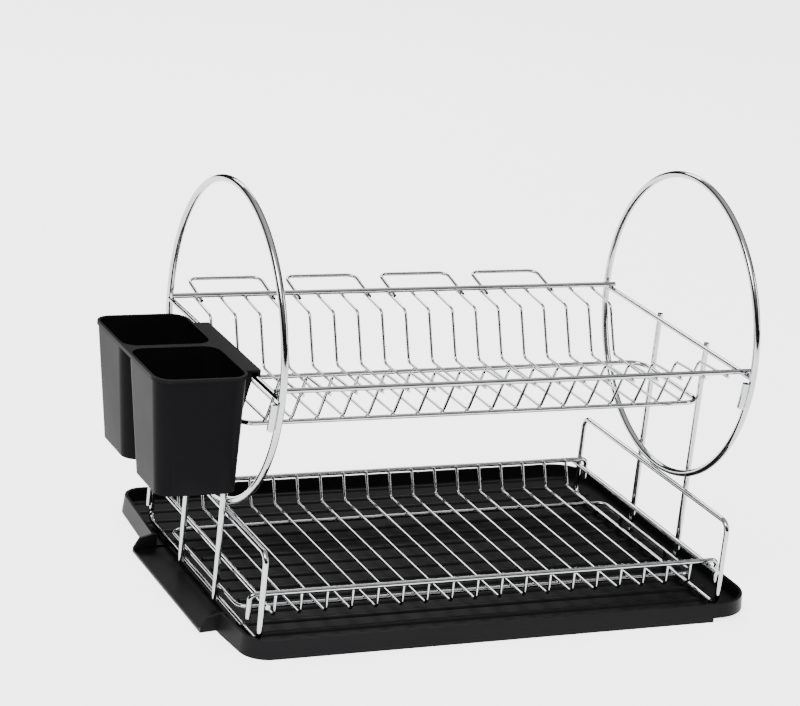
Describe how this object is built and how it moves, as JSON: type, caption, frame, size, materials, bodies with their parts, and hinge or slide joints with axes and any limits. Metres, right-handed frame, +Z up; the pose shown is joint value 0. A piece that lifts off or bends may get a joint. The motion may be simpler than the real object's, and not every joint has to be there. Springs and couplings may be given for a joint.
{
  "type": "dish drying rack",
  "caption": "Two-tier chrome wire dish drying rack: round side hoops, plate trough, lower basket, glass hangers, side cutlery holder and a black drip tray with a pouring lip.",
  "frame": {"origin": "on the counter, at the middle of the whole outline's length and depth", "axes": "+X to the right along the rack's length, so the cutlery holder hangs at the -X end; +Y to the back, where the glass hangers are; +Z up"},
  "size_m": [0.5442, 0.3356, 0.3537],
  "materials": {
    "chrome": "polished",
    "black_plastic": "satin"
  },
  "bodies": {
    "tray": {"drip_tray": "black_plastic"},
    "lower_rack": {"basket_rail_front": "chrome", "basket_rail_back": "chrome", "basket_side_left": "chrome", "basket_side_right": "chrome", "floor_frame": "chrome", "floor_ties": "chrome", "guard_left": "chrome", "guard_right": "chrome", "floor_wires_1": "chrome", "floor_wires_2": "chrome", "floor_wires_3": "chrome", "floor_wires_4": "chrome", "floor_wires_5": "chrome", "floor_wires_6": "chrome", "floor_wires_7": "chrome", "floor_wires_8": "chrome", "floor_wires_9": "chrome"},
    "upper_rack": {"hoop_left": "chrome", "hoop_right": "chrome", "post_left_front": "chrome", "post_left_back": "chrome", "post_right_front": "chrome", "post_right_back": "chrome", "rim_front": "chrome", "rim_back": "chrome", "rim_left": "chrome", "rim_right": "chrome", "trough_loop": "chrome", "glass_hanger_1": "chrome", "glass_hanger_2": "chrome", "glass_hanger_3": "chrome", "glass_hanger_4": "chrome", "plate_wire_01": "chrome", "plate_wire_02": "chrome", "plate_wire_03": "chrome", "plate_wire_04": "chrome", "plate_wire_05": "chrome", "plate_wire_06": "chrome", "plate_wire_07": "chrome", "plate_wire_08": "chrome", "plate_wire_09": "chrome", "plate_wire_10": "chrome", "plate_wire_11": "chrome", "plate_wire_12": "chrome", "plate_wire_13": "chrome", "plate_wire_14": "chrome", "plate_wire_15": "chrome", "plate_wire_16": "chrome", "plate_wire_17": "chrome", "plate_wire_18": "chrome"},
    "holder": {"cutlery_holder": "black_plastic"}
  },
  "joints": [
    {"name": "lower_rack_lift", "type": "slide", "parent": "tray", "child": "lower_rack", "axis": [0, 0, 1], "range_m": [0, 0.1]},
    {"name": "upper_rack_lift", "type": "slide", "parent": "lower_rack", "child": "upper_rack", "axis": [0, 0, 1], "range_m": [0, 0.25]},
    {"name": "holder_lift", "type": "slide", "parent": "upper_rack", "child": "holder", "axis": [0, 0, 1], "range_m": [0, 0.08]}
  ]
}
